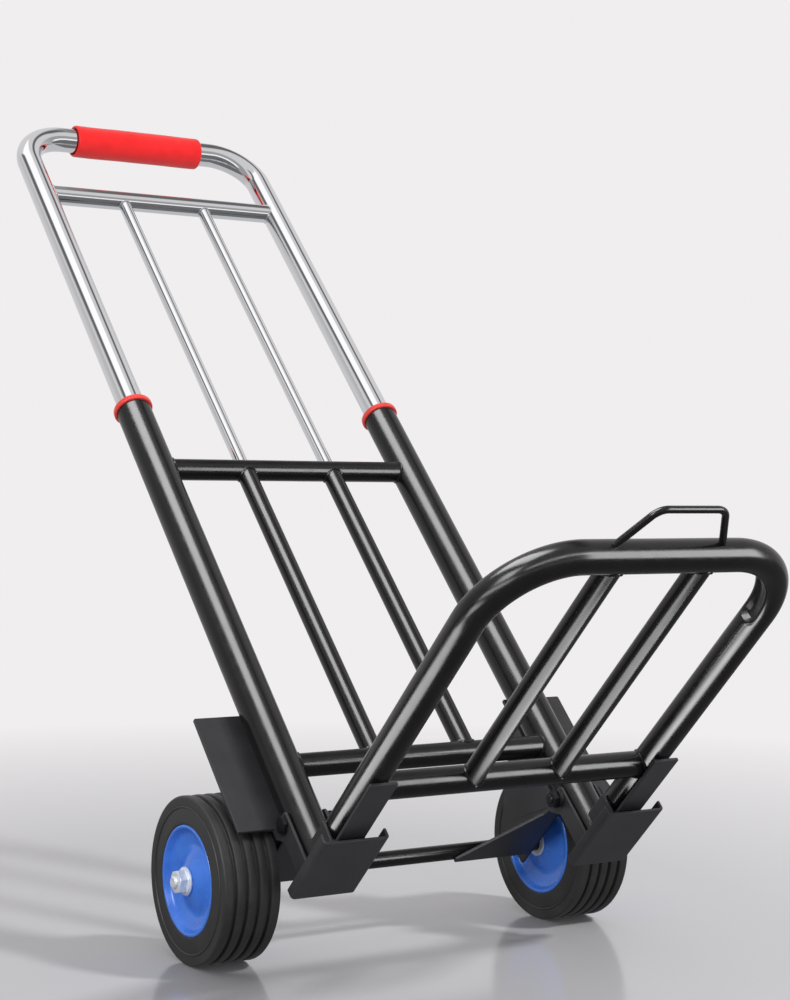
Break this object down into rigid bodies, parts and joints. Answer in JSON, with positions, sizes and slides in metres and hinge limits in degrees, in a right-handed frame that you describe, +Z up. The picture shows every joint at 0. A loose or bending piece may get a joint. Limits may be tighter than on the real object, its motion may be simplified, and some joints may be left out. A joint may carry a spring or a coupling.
{
  "type": "folding hand truck",
  "caption": "Folding hand truck with a tube frame, telescoping handle, fold-up tube platform and rubber-tyred wheels, leaned back on its wheels.",
  "frame": {"origin": "middle of the bounding box on the floor under the wheels", "axes": "+X across the truck along the axle, -Y to the front where the platform reaches, +Z up"},
  "size_m": [0.419, 0.9446, 0.7616],
  "materials": {
    "black_powder_coat": "satin",
    "chrome_plate": "polished",
    "zinc_plate": "satin",
    "black_zinc": "satin",
    "red_plastic": "gloss",
    "black_plastic": "matte",
    "pale_nylon": "matte",
    "red_foam": "matte",
    "tyre_rubber": "matte",
    "blue_enamel": "satin"
  },
  "bodies": {
    "frame": {"frame_tube_left": "black_powder_coat", "frame_tube_right": "black_powder_coat", "upper_crossbar": "black_powder_coat", "lower_crossbar": "black_powder_coat", "rod_sleeve_left": "black_powder_coat", "rod_sleeve_right": "black_powder_coat", "rod_guides": "pale_nylon", "collar_left": "red_plastic", "collar_right": "red_plastic", "end_plugs": "black_plastic", "wheel_bracket_left": "black_powder_coat", "wheel_bracket_right": "black_powder_coat", "axle_tube": "black_powder_coat", "axle_rod": "zinc_plate", "axle_washers": "zinc_plate", "axle_nuts": "zinc_plate", "pivot_bolts": "black_zinc", "pivot_washers": "black_zinc", "pivot_rings": "black_plastic", "pivot_nuts": "black_zinc"},
    "handle": {"handle_tube": "chrome_plate", "handle_crossbar": "chrome_plate", "handle_rod_left": "chrome_plate", "handle_rod_right": "chrome_plate", "rod_stops": "pale_nylon", "slide_bushes": "pale_nylon", "grip": "red_foam"},
    "platform": {"platform_tube": "black_powder_coat", "platform_crossbar": "black_powder_coat", "platform_rod_left": "black_powder_coat", "platform_rod_right": "black_powder_coat", "platform_plugs": "black_plastic", "carry_loop": "black_powder_coat", "shoe_left": "black_powder_coat", "shoe_right": "black_powder_coat", "hinge_ears_left": "black_powder_coat", "hinge_ears_right": "black_powder_coat", "strap_left": "black_powder_coat", "strap_right": "black_powder_coat", "cheeks_left": "black_powder_coat", "cheeks_right": "black_powder_coat"},
    "wheel_left": {"tyre_left": "tyre_rubber", "rim_outer_left": "blue_enamel", "rim_inner_left": "blue_enamel", "hub_sleeve_left": "pale_nylon"},
    "wheel_right": {"tyre_right": "tyre_rubber", "rim_outer_right": "blue_enamel", "rim_inner_right": "blue_enamel", "hub_sleeve_right": "pale_nylon"}
  },
  "joints": [
    {"name": "handle_slide", "type": "slide", "parent": "frame", "child": "handle", "axis": [0, 0.7071, 0.7071], "range_m": [-0.2717, 0]},
    {"name": "platform_fold", "type": "hinge", "parent": "frame", "child": "platform", "pos_m": [0, -0.1687, 0.12053], "axis": [-1, 0, 0], "range_deg": [0, 90]},
    {"name": "wheel_left_spin", "type": "hinge", "parent": "frame", "child": "wheel_left", "pos_m": [-0.1725, -0.09092, 0.0675], "axis": [1, 0, 0], "continuous": true},
    {"name": "wheel_right_spin", "type": "hinge", "parent": "frame", "child": "wheel_right", "pos_m": [0.1725, -0.09092, 0.0675], "axis": [1, 0, 0], "continuous": true}
  ]
}
